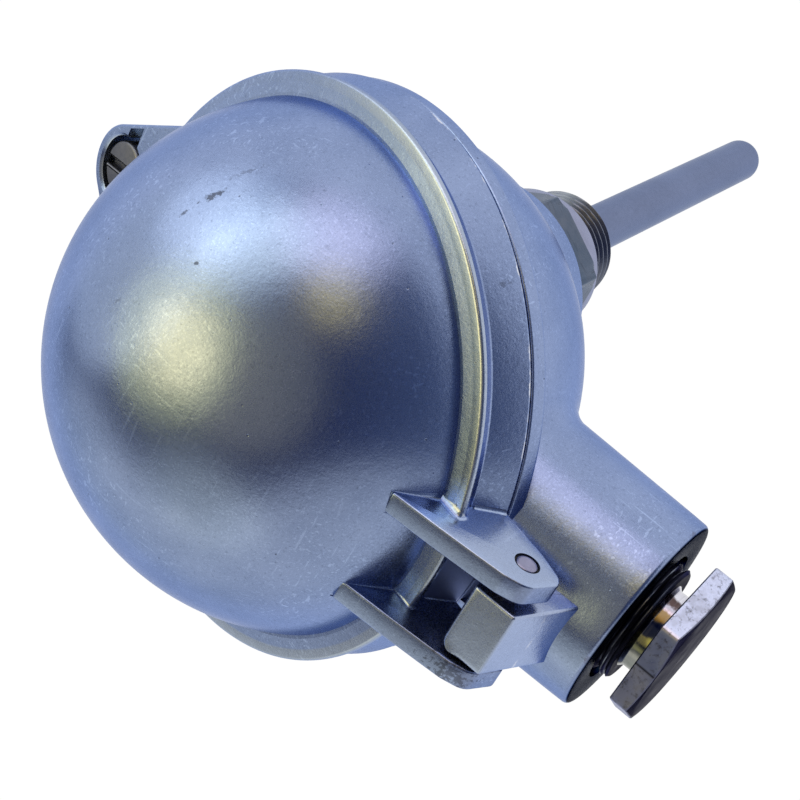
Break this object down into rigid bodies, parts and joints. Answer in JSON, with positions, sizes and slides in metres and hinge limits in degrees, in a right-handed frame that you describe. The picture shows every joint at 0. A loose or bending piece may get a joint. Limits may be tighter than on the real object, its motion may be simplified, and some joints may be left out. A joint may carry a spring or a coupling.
{
  "type": "resistance_temperature_probe",
  "caption": "Resistance temperature probe: domed hinged connection head with side cable entry and plug, hexagon process fitting and a closed protection tube",
  "frame": {"origin": "on the stem axis, where the shoulder of the process thread seats", "axes": "+Z along the stem towards the head, +X towards the cable entry and the hinge, +Y completes the frame"},
  "size_m": [0.126, 0.0884, 0.2183],
  "materials": {
    "cast_aluminium": "satin",
    "stainless_steel": "brushed",
    "plated_steel": "satin",
    "nickel_brass": "satin",
    "black_rubber": "matte",
    "ceramic": "matte",
    "potting_resin": "gloss",
    "white_insulation": "matte",
    "red_insulation": "matte"
  },
  "bodies": {
    "head": {"head_body": "cast_aluminium", "lid_gasket": "black_rubber", "process_fitting": "stainless_steel", "fitting_seal": "black_rubber", "protection_tube": "stainless_steel", "insert_screws": "plated_steel", "insert_spring_a": "stainless_steel", "insert_spring_b": "stainless_steel", "earth_washer": "plated_steel", "earth_screw": "plated_steel"},
    "lid": {"dome_lid": "cast_aluminium", "hinge_pin": "stainless_steel"},
    "closing_screw": {"lid_screw": "plated_steel", "screw_retainer": "plated_steel"},
    "plug": {"entry_plug": "plated_steel"},
    "insert": {"insert_sheath": "stainless_steel", "rtd_element": "ceramic", "sheath_potting": "potting_resin", "sheath_bushing": "stainless_steel", "insert_plate": "stainless_steel", "terminal_block": "ceramic", "terminal_clamps": "nickel_brass", "terminal_screws": "nickel_brass", "leads_white": "white_insulation", "leads_red": "red_insulation"}
  },
  "joints": [
    {"name": "lid_hinge", "type": "hinge", "parent": "head", "child": "lid", "pos_m": [0.0486, 0, 0.09285], "axis": [0, 1, 0], "range_deg": [0, 110]},
    {"name": "closing_screw_turn", "type": "hinge", "parent": "lid", "child": "closing_screw", "pos_m": [-0.04441, 0, 0.05263], "axis": [-0.3559, 0, 0.9345], "continuous": true},
    {"name": "plug_turn", "type": "hinge", "parent": "head", "child": "plug", "pos_m": [0.06, 0, 0.07], "axis": [1, 0, 0], "continuous": true},
    {"name": "insert_lift", "type": "slide", "parent": "head", "child": "insert", "axis": [0, 0, 1], "range_m": [0, 0.006], "stiffness_N_per_m": 1500, "springref_m": -0.004, "deforming": ["insert_spring_a", "insert_spring_b"]}
  ]
}
